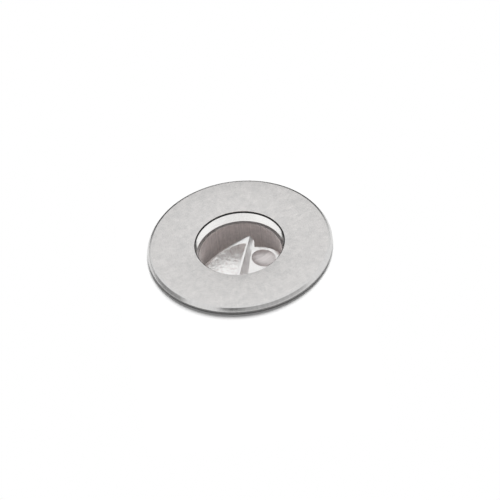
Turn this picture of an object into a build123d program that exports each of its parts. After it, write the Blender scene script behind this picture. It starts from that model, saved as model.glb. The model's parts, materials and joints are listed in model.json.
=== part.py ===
from build123d import *
from math import radians, sin
import os

# Recessed ground light: a stainless trim ring with a flush window, a finned lamp
# housing under it with a turning optic and a driver, and a buried sleeve.
# Lengths are in millimetres. The finished ground is z = 0, at the trim ring's
# underside, and the lamp's centre line is the Z axis.

os.makedirs("parts", exist_ok=True)

# Trim ring
ring_radius = 60.0
ring_thickness = 5.0
ring_bevel_width = 2.1
ring_bevel_height = 2.7
bead_width = 0.7
aperture_edge = 0.2
neck_wall = 3.6
ring_thread_depth = 3.4

# Window and its seals
glass_radius = 28.6
glass_thickness = 8.0
glass_recess = 0.5
glass_arris = 0.35
glass_clearance = 0.15
glass_ledge = 1.2
bead_depth = 0.7
gasket_thickness = 1.0

# Lamp housing
housing_step = 1.5
housing_wall = 2.6
housing_depth = 60.0
flange_width = 6.9
flange_thickness = 6.0
flange_round = 1.2
shoulder_thickness = 3.0
neck_clearance = 0.15
fin_width = 5.4
fin_thickness = 1.8
fin_gap = 4.0
fin_sink = 0.6
fin_round = 0.7
fin_spread_angle = 10.0

# Six ring screws, with three springs and three cover bosses between them
ring_screw_count = 6
fixing_count = 3
spring_angle = 30.0
boss_angle = 90.0

# Face seal between ring and housing
face_seal_stand = 2.8
face_seal_section = 0.95
face_seal_crush = 0.2
groove_side_clearance = 0.2

# Ring screws, driven from below
ring_screw_stand = 3.2
ring_screw_radius = 2.0
ring_screw_hole = 2.2
ring_screw_head = 3.0
ring_screw_head_height = 2.4
socket_share = 0.5
thread_clearance = 0.05

# Rear cover with its seal and screws
cover_thickness = 4.0
spigot_height = 5.0
spigot_wall = 3.2
spigot_clearance = 0.2
boss_stand = 2.4
boss_radius = 3.4
boss_height = 16.0
cover_seal_section = 0.9
cover_seal_crush = 0.2
cover_seal_relief = 0.03
cover_screw_radius = 1.5
cover_screw_head = 2.6
cover_screw_head_height = 2.0
cover_screw_length = 12.0
cover_screw_clearance = 0.15

# Cable gland on the centre line
gland_hex = 20.0
gland_hex_height = 5.0
gland_thread_radius = 7.9
gland_hole_clearance = 0.1
gland_barrel_radius = 7.2
gland_barrel_length = 10.0
gland_seal_radius = 5.8
gland_fit = 0.1
cable_bore = 3.6
gland_washer_thickness = 1.5
gland_washer_radius = 10.4
gland_nut_length = 15.0
gland_nut_step = 1.2
gland_dome_height = 5.0
gland_mouth_radius = 4.6
gland_insert_length = 12.0
locknut_height = 3.2
thread_over = 0.8

# Vent plug in the rear cover
vent_gap = 5.1
vent_angle = 210.0
vent_radius = 4.0
vent_head_radius = 6.5
vent_head_height = 3.0
vent_slot_width = 1.4
vent_slot_depth = 1.2

# Turning optic
optic_angle = -18.0
optic_gap = 0.3
carrier_clearance = 0.4
carrier_wall = 2.0
carrier_flange = 2.0
carrier_boss = 2.1
carrier_boss_inset = 0.1
cup_clearance = 0.3
cup_wall = 0.5
cup_rise = 3.6
cup_fit = 0.2
spreader_thickness = 2.8
spreader_fit = 0.2
spreader_hole = 5.0
led_board_radius = 25.0
led_board_thickness = 1.6
optic_screw_radius = 1.0
optic_screw_length = 8.0
optic_screw_head = 1.8
optic_screw_head_height = 1.0
circlip_width = 2.6
circlip_thickness = 1.2
circlip_groove = 0.6
circlip_fit = 0.1
circlip_ear = 2.6
circlip_eye = 0.8
circlip_opening_angle = 30.0

# Peaked reflector inside the cup. Its outline and the places on it are shares
# of its radius, across the optic and away from the bowls. Falls, drops and
# floors are shares of its height.
reflector_fit = 0.3
peak_drop = 3.0
peak_round = 0.8
peak_share = (0.07, 0.69)
left_end_share = (-0.991, -0.133)
left_mid_share = (-0.49, 0.388)
notch_share = (0.213, 0.483)
right_mid_share = (0.555, 0.521)
right_end_share = (0.897, 0.441)
front_share = (0.0, -1.0)
ridge_end_share = (-0.023, -1.0)
ridge_width = 0.9
ridge_fall_share = 0.585
left_bowl_share = (-0.08, -0.589)
left_bowl_radius = 30.15
left_bowl_floor_share = 0.163
step_width_at_peak = 1.4
step_drop_at_peak_share = 0.064
step_width_at_end = 6.4
step_drop_at_end_share = 0.2
step_side_slope_share = 0.1
right_bowl_share = (0.479, 0.262)
right_bowl_radius = 6.3
right_bowl_floor_share = 0.534
well_radius = 3.2
well_mouth = 4.4

# Light sources
led_size = 3.4
led_height = 0.9
led_lens_radius = 1.35
led_lens_round = 1.2
rear_led_share = (-0.32, 0.70)
left_led_share = (-0.42, -0.30)
right_led_share = (0.42, -0.32)

# Driver on the rear cover
driver_bay = 24.0
driver_gap = 1.6
driver_thickness = 1.6
driver_hole = 4.0
post_height = 7.0
post_radius = 2.6
post_inset = 4.0
driver_screw_radius = 1.2
driver_screw_head = 2.2
driver_screw_head_height = 1.2
capacitor_radius = 5.0
capacitor_height = 10.0
capacitor_place = (12.5, 11.0)
capacitor_round = 0.5
capacitor_groove = 0.4
capacitor_groove_height = 1.5
choke_radius = 6.5
choke_core_radius = 3.0
choke_flange = 1.2
choke_height = 8.0
choke_winding_inset = 0.9
choke_place = (-12.5, 8.0)
chip_length = 9.0
chip_width = 7.0
chip_height = 2.2
chip_bevel = 0.4
chip_place = (0.0, 18.0)
terminal_length = 16.0
terminal_width = 8.5
terminal_height = 9.0
terminal_place = (0.0, -17.0)
terminal_ways = 3
terminal_mouth = 3.0
terminal_mouth_level = 3.0
terminal_mouth_depth = 4.0
terminal_screw_radius = 1.5
terminal_screw_depth = 0.8
terminal_round = 0.5
lead_radius = 0.7
lead_spacing = 1.8
lead_end_gap = 0.3

# Retaining springs, bent from strip
spring_width = 8.0
spring_thickness = 0.6
spring_length = 30.0
spring_foot = 9.0
spring_knee_share = 0.62
spring_nose_inset = 3.6
spring_bend = 1.5
spring_pad_rise = 1.0
spring_pad_length = 12.0
spring_pad_width = 9.0
spring_pad_top = 14.0
spring_running_gap = 0.3
spring_screw_radius = 1.5
spring_screw_head = 2.6
spring_screw_head_height = 1.2
spring_screw_length = 3.2

# Buried sleeve
sleeve_gap = 3.0
sleeve_wall = 3.5
sleeve_depth = 104.0
base_thickness = 3.0
base_flange = 1.5
base_fit = 0.1
sleeve_rim_width = 5.0
sleeve_rim_thickness = 3.0
sleeve_rim_round = 0.8
rim_seal_thickness = 1.2
rim_seal_inset = 1.2
rim_seal_gap = 0.1
drain_radius = 15.0
drain_slot_width = 5.0
drain_slot_length = 13.0
drain_slot_gap = 9.5
drain_slots = 6
anchor_width = 4.0
anchor_thickness = 2.5
anchor_depth = 66.0
gusset_thickness = 2.4
gusset_drop = 12.0
gusset_step = 0.5
gussets = 6
entry_radius = 9.0
entry_wall = 2.5
entry_length = 7.0
entry_height = 13.5
grommet_lip = 1.6
grommet_lip_thickness = 1.5
grommet_fit = 0.1
grommet_wall = 1.4
grommet_cone = 6.0
plug_floor = 1.6
cut_over = 1.0

# Heights and radii that follow from the sizes above
neck_depth = glass_thickness + glass_recess - ring_thickness
aperture_radius = glass_radius + bead_width
bore_radius = glass_radius + glass_clearance
neck_radius = bore_radius + neck_wall
glass_top = ring_thickness - glass_recess
glass_bottom = glass_top - glass_thickness
rebate_floor = glass_top - bead_depth
gasket_bottom = -neck_depth - gasket_thickness
ledge_radius = glass_radius - glass_ledge
shoulder_bottom = gasket_bottom - shoulder_thickness
housing_bore = neck_radius + neck_clearance + housing_step
housing_radius = housing_bore + housing_wall
flange_radius = housing_radius + flange_width
fin_radius = housing_radius + fin_width
ring_screw_circle = housing_radius + ring_screw_stand
boss_circle = housing_radius + boss_stand
face_seal_radius = neck_radius + neck_clearance + face_seal_stand
cover_top = -housing_depth
cover_bottom = cover_top - cover_thickness
carrier_top = shoulder_bottom - optic_gap
carrier_bottom = cover_top + driver_bay
carrier_radius = housing_bore - carrier_clearance
carrier_bore = carrier_radius - carrier_wall
spreader_top = carrier_bottom + spreader_thickness
board_top = spreader_top + led_board_thickness
cup_outer = ledge_radius - cup_clearance
cup_inner = cup_outer - cup_wall
reflector_radius = cup_inner - reflector_fit
peak_height = glass_bottom - peak_drop
reflector_height = peak_height - board_top
driver_radius = housing_bore - spigot_clearance - spigot_wall - driver_gap
post_circle = driver_radius - post_inset
driver_bottom = cover_top + post_height
driver_top = driver_bottom + driver_thickness
sleeve_bore = flange_radius + sleeve_gap
sleeve_radius = sleeve_bore + sleeve_wall
sleeve_rim_radius = sleeve_radius + sleeve_rim_width
anchor_radius = sleeve_radius + anchor_width
entry_reach = sleeve_radius + entry_length
sleeve_bottom = -sleeve_depth
rim_top = -rim_seal_gap - rim_seal_thickness
entry_level = sleeve_bottom + entry_height
drain_slot_circle = drain_radius + drain_slot_gap + drain_slot_length / 2
vent_circle = gland_washer_radius + vent_gap + vent_head_radius
spring_screw_level = -spring_pad_top - spring_foot / 2
optic_plane = Plane.XY.rotated((0, 0, optic_angle))


def save(piece, name):
    piece.part.label = name
    export_step(piece.part, f"parts/{name}.step")


def band(inner, outer, low, high):
    """Half section of a flat ring about the Z axis."""
    with BuildSketch(Plane.XZ) as section:
        with Locations(((inner + outer) / 2, (low + high) / 2)):
            Rectangle(outer - inner, high - low)
    return section.sketch


def at(share):
    """A place on the optic, from its shares of the reflector's radius."""
    return (share[0] * reflector_radius, share[1] * reflector_radius)


# Trim ring: turned plate with a neck that holds the glass
with BuildPart() as trim_ring:
    with BuildSketch(Plane.XZ):
        with BuildLine():
            Polyline(
                (bore_radius, -neck_depth),
                (bore_radius, rebate_floor),
                (aperture_radius, rebate_floor),
                (aperture_radius, ring_thickness),
                (ring_radius - ring_bevel_width, ring_thickness),
                (ring_radius, ring_thickness - ring_bevel_height),
                (ring_radius, 0),
                (neck_radius, 0),
                (neck_radius, -neck_depth),
                close=True,
            )
        make_face()
    revolve(axis=Axis.Z)
    top_edges = trim_ring.edges().filter_by(GeomType.CIRCLE).group_by(Axis.Z)[-1]
    chamfer(top_edges.sort_by(SortBy.RADIUS)[0], aperture_edge)
    with BuildSketch(Plane.XY):
        with PolarLocations(ring_screw_circle, ring_screw_count):
            Circle(ring_screw_radius + thread_clearance)
    extrude(amount=ring_thread_depth, mode=Mode.SUBTRACT)
save(trim_ring, "trim_ring")

# Window: thick toughened disc with both arrises taken off
with BuildPart() as window_glass:
    with BuildSketch(Plane.XY.offset(glass_bottom)):
        Circle(glass_radius)
    extrude(amount=glass_thickness)
    chamfer(window_glass.edges().filter_by(GeomType.CIRCLE), glass_arris)
save(window_glass, "window_glass")

# Sealing bead in the rebate round the glass, with a sloping face
with BuildPart() as window_bead:
    with BuildSketch(Plane.XZ):
        with BuildLine():
            Polyline(
                (glass_radius, glass_top - glass_arris),
                (glass_radius, rebate_floor),
                (aperture_radius, rebate_floor),
                (aperture_radius, glass_top),
                close=True,
            )
        make_face()
    revolve(axis=Axis.Z)
save(window_bead, "window_bead")

# Flat gasket that carries the glass and the neck
with BuildPart() as window_gasket:
    revolve(band(ledge_radius, neck_radius, gasket_bottom, glass_bottom), axis=Axis.Z)
save(window_gasket, "window_gasket")

# Lamp housing: flanged cup with cooling fins, bosses and spring pads
with BuildPart() as lamp_housing:
    with BuildSketch(Plane.XZ):
        with BuildLine():
            Polyline(
                (neck_radius + neck_clearance, 0),
                (neck_radius + neck_clearance, gasket_bottom),
                (ledge_radius, gasket_bottom),
                (ledge_radius, shoulder_bottom),
                (housing_bore, shoulder_bottom),
                (housing_bore, cover_top),
                (housing_radius, cover_top),
                (housing_radius, -flange_thickness),
                (flange_radius, -flange_thickness),
                (flange_radius, 0),
                close=True,
            )
        make_face()
    revolve(axis=Axis.Z)
    rim_edges = lamp_housing.edges().filter_by(GeomType.CIRCLE).group_by(SortBy.RADIUS)[-1]
    fillet(rim_edges, flange_round)

    # Pairs of fins between the stations
    fin_start = housing_radius - fin_sink
    fin_top = -flange_thickness
    fin_bottom = cover_top + fin_gap
    fin_length = fin_radius - fin_start
    with BuildSketch(Plane.XY.offset(fin_bottom)):
        for side in (-fin_spread_angle, fin_spread_angle):
            with PolarLocations(0, 2 * ring_screw_count, start_angle=side):
                with Locations((fin_start + fin_length / 2, 0)):
                    RectangleRounded(fin_length, fin_thickness, fin_round)
    extrude(amount=fin_top - fin_bottom)

    # Bosses for the cover screws
    with BuildSketch(Plane.XY.offset(cover_top)):
        with PolarLocations(0, fixing_count, start_angle=boss_angle):
            with Locations((boss_circle, 0)):
                Circle(boss_radius)
            with Locations((boss_circle - boss_radius / 2, 0)):
                Rectangle(boss_radius, 2 * boss_radius)
    extrude(amount=boss_height)
    with BuildSketch(Plane.XY.offset(cover_top)):
        with PolarLocations(boss_circle, fixing_count, start_angle=boss_angle):
            Circle(cover_screw_radius + thread_clearance)
    extrude(amount=cover_screw_length, mode=Mode.SUBTRACT)

    # Flat pads that the spring feet are screwed to
    pad_face = housing_radius + spring_pad_rise
    pad_middle = -spring_pad_top - spring_pad_length / 2
    with PolarLocations(0, fixing_count, start_angle=spring_angle):
        with Locations((pad_face - housing_wall / 2, 0, pad_middle)):
            Box(housing_wall, spring_pad_width, spring_pad_length)
    with PolarLocations(0, fixing_count, start_angle=spring_angle):
        with Locations(Location((pad_face, 0, spring_screw_level), (0, 90, 0))):
            Cylinder(
                spring_screw_radius + thread_clearance,
                2 * spring_screw_length,
                mode=Mode.SUBTRACT,
            )

    # Clearance holes for the ring screws
    with BuildSketch(Plane.XY.offset(-flange_thickness)):
        with PolarLocations(ring_screw_circle, ring_screw_count):
            Circle(ring_screw_hole)
    extrude(amount=flange_thickness, mode=Mode.SUBTRACT)

    # Groove for the face seal and groove for the circlip
    seal_depth = 2 * face_seal_section - face_seal_crush
    seal_half = face_seal_section + groove_side_clearance
    revolve(
        band(face_seal_radius - seal_half, face_seal_radius + seal_half, -seal_depth, 0),
        axis=Axis.Z,
        mode=Mode.SUBTRACT,
    )
    circlip_top = carrier_bottom - optic_gap
    circlip_bottom = circlip_top - circlip_thickness
    revolve(
        band(
            housing_bore - circlip_fit,
            housing_bore + circlip_groove,
            circlip_bottom - circlip_fit,
            circlip_top + circlip_fit,
        ),
        axis=Axis.Z,
        mode=Mode.SUBTRACT,
    )
save(lamp_housing, "lamp_housing")

# Face seal, pressed flat by the ring
with BuildPart() as face_seal:
    with BuildSketch(Plane.XZ):
        with Locations((face_seal_radius, -seal_depth / 2)):
            Ellipse(face_seal_section, seal_depth / 2)
    revolve(axis=Axis.Z)
save(face_seal, "face_seal")

# Ring screws with hexagon sockets, driven up from under the flange
with BuildPart() as ring_screws:
    head_top = -flange_thickness
    with PolarLocations(ring_screw_circle, ring_screw_count):
        with Locations((0, 0, head_top)):
            Cylinder(
                ring_screw_radius,
                flange_thickness + ring_thread_depth - thread_clearance,
                align=(Align.CENTER, Align.CENTER, Align.MIN),
            )
            Cylinder(
                ring_screw_head,
                ring_screw_head_height,
                align=(Align.CENTER, Align.CENTER, Align.MAX),
            )
    with BuildSketch(Plane.XY.offset(head_top - ring_screw_head_height)):
        with PolarLocations(ring_screw_circle, ring_screw_count):
            RegularPolygon(ring_screw_head * socket_share, 6)
    extrude(amount=ring_screw_head_height * socket_share, mode=Mode.SUBTRACT)
save(ring_screws, "ring_screws")

# Rear cover: eared disc with a grooved spigot, gland hole and vent hole
with BuildPart() as rear_cover:
    spigot_radius = housing_bore - spigot_clearance
    with BuildSketch(Plane.XY.offset(cover_bottom)):
        Circle(housing_radius)
        with PolarLocations(0, fixing_count, start_angle=boss_angle):
            with Locations((boss_circle, 0)):
                Circle(boss_radius)
            with Locations((boss_circle - boss_radius / 2, 0)):
                Rectangle(boss_radius, 2 * boss_radius)
    extrude(amount=cover_thickness)
    revolve(
        band(spigot_radius - spigot_wall, spigot_radius, cover_top, cover_top + spigot_height),
        axis=Axis.Z,
    )
    cover_seal_half = cover_seal_section + groove_side_clearance
    cover_seal_level = cover_top + spigot_height / 2
    cover_seal_depth = 2 * cover_seal_section - cover_seal_crush - spigot_clearance
    revolve(
        band(
            spigot_radius - cover_seal_depth,
            spigot_radius + cut_over,
            cover_seal_level - cover_seal_half,
            cover_seal_level + cover_seal_half,
        ),
        axis=Axis.Z,
        mode=Mode.SUBTRACT,
    )
    with BuildSketch(Plane.XY.offset(cover_bottom)):
        Circle(gland_thread_radius + gland_hole_clearance)
        with PolarLocations(vent_circle, 1, start_angle=vent_angle):
            Circle(vent_radius + gland_hole_clearance)
        with PolarLocations(boss_circle, fixing_count, start_angle=boss_angle):
            Circle(cover_screw_radius + cover_screw_clearance)
    extrude(amount=cover_thickness, mode=Mode.SUBTRACT)
    with BuildSketch(Plane.XY.offset(cover_bottom)):
        with PolarLocations(boss_circle, fixing_count, start_angle=boss_angle):
            Circle(cover_screw_head + cover_screw_clearance)
    extrude(amount=cover_screw_head_height, mode=Mode.SUBTRACT)
save(rear_cover, "rear_cover")

# Seal round the cover's spigot
with BuildPart() as cover_seal:
    seal_middle = housing_bore - (cover_seal_depth + spigot_clearance) / 2
    with BuildSketch(Plane.XZ):
        with Locations((seal_middle, cover_seal_level)):
            Ellipse(
                (cover_seal_depth + spigot_clearance) / 2 - cover_seal_relief,
                cover_seal_section,
            )
    revolve(axis=Axis.Z)
save(cover_seal, "cover_seal")

# Cover screws with sunk heads
with BuildPart() as cover_screws:
    with PolarLocations(boss_circle, fixing_count, start_angle=boss_angle):
        with Locations((0, 0, cover_bottom)):
            Cylinder(
                cover_screw_head,
                cover_screw_head_height,
                align=(Align.CENTER, Align.CENTER, Align.MIN),
            )
            Cylinder(
                cover_screw_radius,
                cover_thickness + cover_screw_length - thread_clearance,
                align=(Align.CENTER, Align.CENTER, Align.MIN),
            )
    with BuildSketch(Plane.XY.offset(cover_bottom)):
        with PolarLocations(boss_circle, fixing_count, start_angle=boss_angle):
            RegularPolygon(cover_screw_head * socket_share, 6)
    extrude(amount=cover_screw_head_height * socket_share, mode=Mode.SUBTRACT)
save(cover_screws, "cover_screws")

# Cable gland: washer, body, rubber insert, dome nut and locknut
washer_bottom = cover_bottom - gland_washer_thickness
gland_shoulder = washer_bottom - gland_hex_height
barrel_end = gland_shoulder - gland_barrel_length
gland_nut_top = gland_shoulder - gland_nut_step
gland_nut_end = gland_nut_top - gland_nut_length
locknut_bottom = cover_top

with BuildPart() as gland_washer:
    revolve(
        band(
            gland_thread_radius + gland_hole_clearance,
            gland_washer_radius,
            washer_bottom,
            cover_bottom,
        ),
        axis=Axis.Z,
    )
save(gland_washer, "gland_washer")

with BuildPart() as gland_body:
    with BuildSketch(Plane.XY.offset(gland_shoulder)):
        RegularPolygon(gland_hex / 2, 6, major_radius=False)
    extrude(amount=gland_hex_height)
    revolve(
        band(0, gland_thread_radius, washer_bottom, cover_top + locknut_height + thread_over),
        axis=Axis.Z,
    )
    revolve(band(0, gland_barrel_radius, barrel_end, gland_shoulder), axis=Axis.Z)
    revolve(
        band(0, cable_bore, barrel_end, cover_top + locknut_height + thread_over),
        axis=Axis.Z,
        mode=Mode.SUBTRACT,
    )
    insert_top = gland_nut_end + gland_dome_height / 2 + gland_insert_length
    revolve(
        band(0, gland_seal_radius + gland_fit, barrel_end, insert_top),
        axis=Axis.Z,
        mode=Mode.SUBTRACT,
    )
save(gland_body, "gland_body")

with BuildPart() as gland_insert:
    insert_bottom = insert_top - gland_insert_length
    with BuildSketch(Plane.XZ):
        with BuildLine():
            Polyline(
                (cable_bore, insert_top),
                (gland_seal_radius, insert_top),
                (gland_seal_radius, gland_nut_end + gland_dome_height),
                (gland_mouth_radius, insert_bottom),
                (cable_bore, insert_bottom),
                close=True,
            )
        make_face()
    revolve(axis=Axis.Z)
save(gland_insert, "gland_insert")

with BuildPart() as gland_nut:
    with BuildSketch(Plane.XY.offset(gland_nut_end)):
        RegularPolygon(gland_hex / 2, 6, major_radius=False)
    extrude(amount=gland_nut_length)
    with BuildSketch(Plane.XZ):
        with BuildLine():
            Polyline(
                (gland_mouth_radius + gland_fit, gland_nut_end),
                (gland_hex, gland_nut_end),
                (gland_hex, gland_nut_end + gland_dome_height),
                (gland_hex / 2, gland_nut_end + gland_dome_height),
            )
            RadiusArc(
                (gland_hex / 2, gland_nut_end + gland_dome_height),
                (gland_mouth_radius + gland_fit, gland_nut_end),
                gland_hex / 2,
            )
        make_face()
    revolve(axis=Axis.Z, mode=Mode.SUBTRACT)
    with BuildSketch(Plane.XZ):
        with BuildLine():
            Polyline(
                (0, gland_nut_end),
                (gland_mouth_radius + gland_fit, gland_nut_end),
                (gland_mouth_radius + gland_fit, insert_bottom),
                (gland_seal_radius + gland_fit, gland_nut_end + gland_dome_height),
                (gland_barrel_radius + gland_fit, barrel_end),
                (gland_barrel_radius + gland_fit, gland_nut_top),
                (0, gland_nut_top),
                close=True,
            )
        make_face()
    revolve(axis=Axis.Z, mode=Mode.SUBTRACT)
save(gland_nut, "gland_nut")

with BuildPart() as gland_locknut:
    with BuildSketch(Plane.XY.offset(locknut_bottom)):
        RegularPolygon(gland_hex / 2, 6, major_radius=False)
        Circle(gland_thread_radius + thread_clearance, mode=Mode.SUBTRACT)
    extrude(amount=locknut_height)
save(gland_locknut, "gland_locknut")

# Vent plug that lets the housing breathe
with BuildPart() as vent_plug:
    with BuildSketch(Plane.XY.offset(cover_bottom)):
        with PolarLocations(vent_circle, 1, start_angle=vent_angle):
            Circle(vent_radius)
    extrude(amount=cover_thickness)
    with BuildSketch(Plane.XY.offset(cover_bottom)):
        with PolarLocations(vent_circle, 1, start_angle=vent_angle):
            Circle(vent_head_radius)
    extrude(amount=-vent_head_height)
    with BuildSketch(Plane.XY.offset(cover_bottom - vent_head_height)):
        with PolarLocations(vent_circle, 1, start_angle=vent_angle):
            Rectangle(vent_slot_width, 2 * vent_head_radius)
    extrude(amount=vent_slot_depth, mode=Mode.SUBTRACT)
save(vent_plug, "vent_plug")

# Driver posts, board and screws
with BuildPart() as driver_posts:
    with BuildSketch(Plane.XY.offset(cover_top)):
        with PolarLocations(post_circle, fixing_count, start_angle=spring_angle):
            RegularPolygon(post_radius, 6)
            Circle(driver_screw_radius + thread_clearance, mode=Mode.SUBTRACT)
    extrude(amount=post_height)
save(driver_posts, "driver_posts")

with BuildPart() as driver_board:
    with BuildSketch(Plane.XY.offset(driver_bottom)):
        Circle(driver_radius)
        Circle(driver_hole, mode=Mode.SUBTRACT)
        with PolarLocations(post_circle, fixing_count, start_angle=spring_angle):
            Circle(driver_screw_radius + thread_clearance, mode=Mode.SUBTRACT)
    extrude(amount=driver_thickness)
save(driver_board, "driver_board")

with BuildPart() as driver_screws:
    with PolarLocations(post_circle, fixing_count, start_angle=spring_angle):
        with Locations((0, 0, driver_top)):
            Cylinder(
                driver_screw_head,
                driver_screw_head_height,
                align=(Align.CENTER, Align.CENTER, Align.MIN),
            )
            Cylinder(
                driver_screw_radius,
                driver_thickness + post_height / 2,
                align=(Align.CENTER, Align.CENTER, Align.MAX),
            )
save(driver_screws, "driver_screws")

# Parts soldered on the driver board
with BuildPart() as smoothing_capacitor:
    with BuildSketch(Plane.XY.offset(driver_top)):
        with Locations(capacitor_place):
            Circle(capacitor_radius)
    extrude(amount=capacitor_height)
    fillet(smoothing_capacitor.edges().group_by(Axis.Z)[-1], capacitor_round)
    with BuildSketch(Plane.XY.offset(driver_top + capacitor_groove_height)):
        with Locations(capacitor_place):
            Circle(capacitor_radius + cut_over)
            Circle(capacitor_radius - capacitor_groove, mode=Mode.SUBTRACT)
    extrude(amount=capacitor_groove, mode=Mode.SUBTRACT)
save(smoothing_capacitor, "smoothing_capacitor")

with BuildPart() as choke:
    with BuildSketch(Plane.XY.offset(driver_top)):
        with Locations(choke_place):
            Circle(choke_radius)
    extrude(amount=choke_flange)
    with BuildSketch(Plane.XY.offset(driver_top + choke_flange)):
        with Locations(choke_place):
            Circle(choke_radius - choke_winding_inset)
    extrude(amount=choke_height - 2 * choke_flange)
    with BuildSketch(Plane.XY.offset(driver_top + choke_height - choke_flange)):
        with Locations(choke_place):
            Circle(choke_radius)
            Circle(choke_core_radius - choke_winding_inset, mode=Mode.SUBTRACT)
    extrude(amount=choke_flange)
save(choke, "choke")

with BuildPart() as driver_chip:
    with BuildSketch(Plane.XY.offset(driver_top)):
        with Locations(chip_place):
            Rectangle(chip_length, chip_width)
    extrude(amount=chip_height)
    chamfer(driver_chip.edges().group_by(Axis.Z)[-1], chip_bevel)
save(driver_chip, "driver_chip")

with BuildPart() as terminal_block:
    with BuildSketch(Plane.XY.offset(driver_top)):
        with Locations(terminal_place):
            Rectangle(terminal_length, terminal_width)
    extrude(amount=terminal_height)
    fillet(terminal_block.edges().group_by(Axis.Z)[-1], terminal_round)
    way_pitch = terminal_length / terminal_ways
    mouth_plane = Plane.XZ.offset(-terminal_place[1] + terminal_width / 2)
    with BuildSketch(mouth_plane):
        with Locations((terminal_place[0], driver_top + terminal_mouth_level)):
            with GridLocations(way_pitch, terminal_height, terminal_ways, 1):
                Rectangle(terminal_mouth, terminal_mouth)
    extrude(amount=-terminal_mouth_depth, mode=Mode.SUBTRACT)
    with BuildSketch(Plane.XY.offset(driver_top + terminal_height)):
        with Locations(terminal_place):
            with GridLocations(way_pitch, terminal_width, terminal_ways, 1):
                Circle(terminal_screw_radius)
    extrude(amount=-terminal_screw_depth, mode=Mode.SUBTRACT)
save(terminal_block, "terminal_block")

# Two leads that rise on the centre line to the light sources' board
with BuildPart() as led_leads:
    lead_top = spreader_top - lead_end_gap
    with BuildSketch(Plane.XY.offset(driver_top)):
        Circle(driver_hole + lead_spacing)
        with GridLocations(lead_spacing, lead_spacing, 2, 1):
            Circle(lead_radius)
    extrude(amount=driver_thickness / 2)
    with BuildSketch(Plane.XY.offset(driver_top)):
        with GridLocations(lead_spacing, lead_spacing, 2, 1):
            Circle(lead_radius)
    extrude(amount=lead_top - driver_top)
save(led_leads, "led_leads")

# Optic carrier: drum with three bosses that hangs the optic in the housing
boss_place = carrier_bore - carrier_boss - carrier_boss_inset
with BuildPart() as optic_carrier:
    with BuildSketch(Plane.XZ):
        with BuildLine():
            Polyline(
                (cup_outer + cup_fit, carrier_top),
                (carrier_radius, carrier_top),
                (carrier_radius, carrier_bottom),
                (carrier_bore, carrier_bottom),
                (carrier_bore, carrier_top - carrier_flange),
                (cup_outer + cup_fit, carrier_top - carrier_flange),
                close=True,
            )
        make_face()
    revolve(axis=Axis.Z)
    with BuildSketch(optic_plane.offset(spreader_top)):
        with PolarLocations(boss_place, fixing_count, start_angle=boss_angle):
            Circle(carrier_boss)
        with PolarLocations(boss_place + carrier_boss, fixing_count, start_angle=boss_angle):
            Rectangle(carrier_boss, carrier_boss)
    extrude(amount=carrier_top - carrier_flange - spreader_top)
    with BuildSketch(optic_plane.offset(spreader_top)):
        with PolarLocations(boss_place, fixing_count, start_angle=boss_angle):
            Circle(optic_screw_radius + thread_clearance)
    extrude(amount=optic_screw_length, mode=Mode.SUBTRACT)
save(optic_carrier, "optic_carrier")

# Heat spreader under the light sources' board
with BuildPart() as heat_spreader:
    with BuildSketch(Plane.XY.offset(carrier_bottom)):
        Circle(carrier_bore - spreader_fit)
        Circle(spreader_hole, mode=Mode.SUBTRACT)
    extrude(amount=spreader_thickness)
    with BuildSketch(optic_plane.offset(carrier_bottom)):
        with PolarLocations(boss_place, fixing_count, start_angle=boss_angle):
            Circle(optic_screw_radius + thread_clearance)
    extrude(amount=spreader_thickness, mode=Mode.SUBTRACT)
    with BuildSketch(optic_plane.offset(carrier_bottom)):
        with PolarLocations(boss_place, fixing_count, start_angle=boss_angle):
            Circle(optic_screw_head + thread_clearance)
    extrude(amount=optic_screw_head_height, mode=Mode.SUBTRACT)
save(heat_spreader, "heat_spreader")

# Optic screws with their heads sunk in the spreader
with BuildPart() as optic_screws:
    with BuildSketch(optic_plane.offset(carrier_bottom)):
        with PolarLocations(boss_place, fixing_count, start_angle=boss_angle):
            Circle(optic_screw_radius)
    extrude(amount=spreader_thickness + optic_screw_length - thread_clearance)
    with BuildSketch(optic_plane.offset(carrier_bottom)):
        with PolarLocations(boss_place, fixing_count, start_angle=boss_angle):
            Circle(optic_screw_head)
    extrude(amount=optic_screw_head_height)
save(optic_screws, "optic_screws")

# Circlip that the carrier turns on
with BuildPart() as optic_circlip:
    clip_outer = housing_bore + circlip_groove - circlip_fit
    clip_inner = clip_outer - circlip_width
    with BuildSketch(Plane.XY.offset(circlip_bottom)):
        Circle(clip_outer)
        Circle(clip_inner, mode=Mode.SUBTRACT)
        with Locations((clip_inner, 0)):
            Rectangle(
                2 * circlip_width,
                2 * clip_inner * sin(radians(circlip_opening_angle / 2)),
                mode=Mode.SUBTRACT,
            )
        with PolarLocations(clip_inner, 1, start_angle=circlip_opening_angle / 2):
            Circle(circlip_ear)
            Circle(circlip_eye, mode=Mode.SUBTRACT)
        with PolarLocations(clip_inner, 1, start_angle=-circlip_opening_angle / 2):
            Circle(circlip_ear)
            Circle(circlip_eye, mode=Mode.SUBTRACT)
        with BuildSketch(mode=Mode.INTERSECT):
            Circle(clip_outer)
    extrude(amount=circlip_thickness)
save(optic_circlip, "optic_circlip")

# Shade cup: thin dark tube that rises to just under the glass
with BuildPart() as shade_cup:
    cup_top = shoulder_bottom + cup_rise
    revolve(band(cup_inner, cup_outer, spreader_top, cup_top), axis=Axis.Z)
save(shade_cup, "shade_cup")

# Board with its three light sources
with BuildPart() as led_board:
    with BuildSketch(optic_plane.offset(spreader_top)):
        Circle(led_board_radius)
    extrude(amount=led_board_thickness)
save(led_board, "led_board")

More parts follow.
